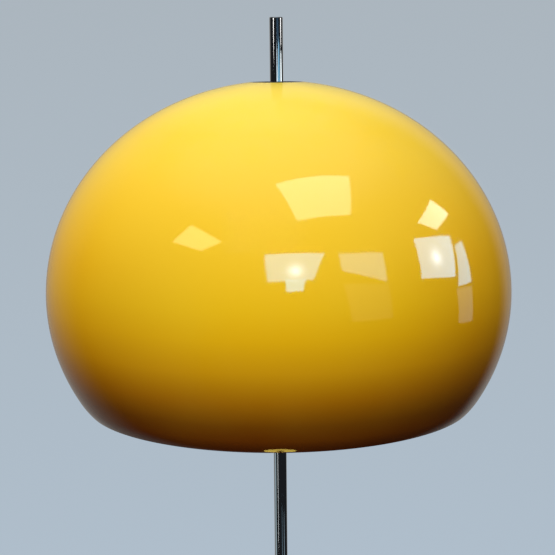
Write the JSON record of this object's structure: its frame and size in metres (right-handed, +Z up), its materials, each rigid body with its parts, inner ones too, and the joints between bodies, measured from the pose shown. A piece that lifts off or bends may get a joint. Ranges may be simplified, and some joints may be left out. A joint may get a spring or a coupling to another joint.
{
  "type": "dome shade floor lamp",
  "caption": "Floor lamp with a glossy dome shade that slides and turns on a chromed pole, held by a clamp screw, on a weighted round base.",
  "frame": {"origin": "middle of the base, on the floor", "axes": "+Z up along the pole, -Y towards the front, +X to the right seen from the front"},
  "size_m": [0.46, 0.4598, 1.6],
  "materials": {
    "iron": "rough cast",
    "yellow_lacquer": "gloss lacquer",
    "felt": "felt",
    "zinc_steel": "zinc plated",
    "black_plastic": "satin",
    "chrome": "polished",
    "brass": "turned",
    "rubber": "matt",
    "nylon": "matt",
    "aluminium": "turned",
    "yellow_acrylic": "polished",
    "porcelain": "glazed",
    "opal_glass": "opal"
  },
  "bodies": {
    "stand": {"base_weight": "iron", "base_cover": "yellow_lacquer", "base_felt": "felt", "base_washer": "zinc_steel", "base_nut": "zinc_steel", "base_nipple": "zinc_steel", "root_collar": "black_plastic", "cord_gland": "black_plastic", "lower_tube": "chrome", "upper_tube": "chrome", "tube_bushes": "brass", "joint_nipple": "zinc_steel", "pole_cap": "chrome", "exit_grommet": "rubber"},
    "carriage": {"clamp_collar": "chrome", "thrust_washer": "nylon"},
    "pad": {"clamp_pad": "brass"},
    "clamp_screw": {"clamp_stud": "zinc_steel", "clamp_knob": "black_plastic"},
    "head": {"hub": "aluminium", "hub_bushes": "nylon", "bridge_bar": "zinc_steel", "bridge_nut": "brass", "carrier": "zinc_steel", "carrier_nut": "brass", "carrier_gasket": "rubber", "crown_ring": "black_plastic", "shade": "yellow_acrylic", "terminal_block": "porcelain", "terminal_screw": "zinc_steel", "earth_screw": "brass", "holder_nipples": "zinc_steel", "holder_nuts": "brass", "holder_caps": "black_plastic", "holder_skirts": "black_plastic", "holder_inserts": "porcelain", "holder_shells": "brass", "holder_contacts": "brass", "bulb_caps": "aluminium", "bulb_globes": "opal_glass"}
  },
  "joints": [
    {"name": "shade_slide", "type": "slide", "parent": "stand", "child": "carriage", "axis": [0, 0, 1], "range_m": [-0.14, 0.045]},
    {"name": "shade_turn", "type": "hinge", "parent": "carriage", "child": "head", "pos_m": [0, 0, 1.4585], "axis": [0, 0, 1], "range_deg": [-170, 170]},
    {"name": "clamp_slide", "type": "slide", "parent": "carriage", "child": "pad", "axis": [0, -1, 0], "range_m": [0, 0.0016]},
    {"name": "clamp_turn", "type": "hinge", "parent": "pad", "child": "clamp_screw", "pos_m": [0, -0.02, 1.448], "axis": [0, -1, 0], "range_deg": [0, 720]}
  ],
  "couplings": [
    {"joint": "clamp_turn", "follows": "clamp_slide", "rad_per_m": 7854}
  ]
}
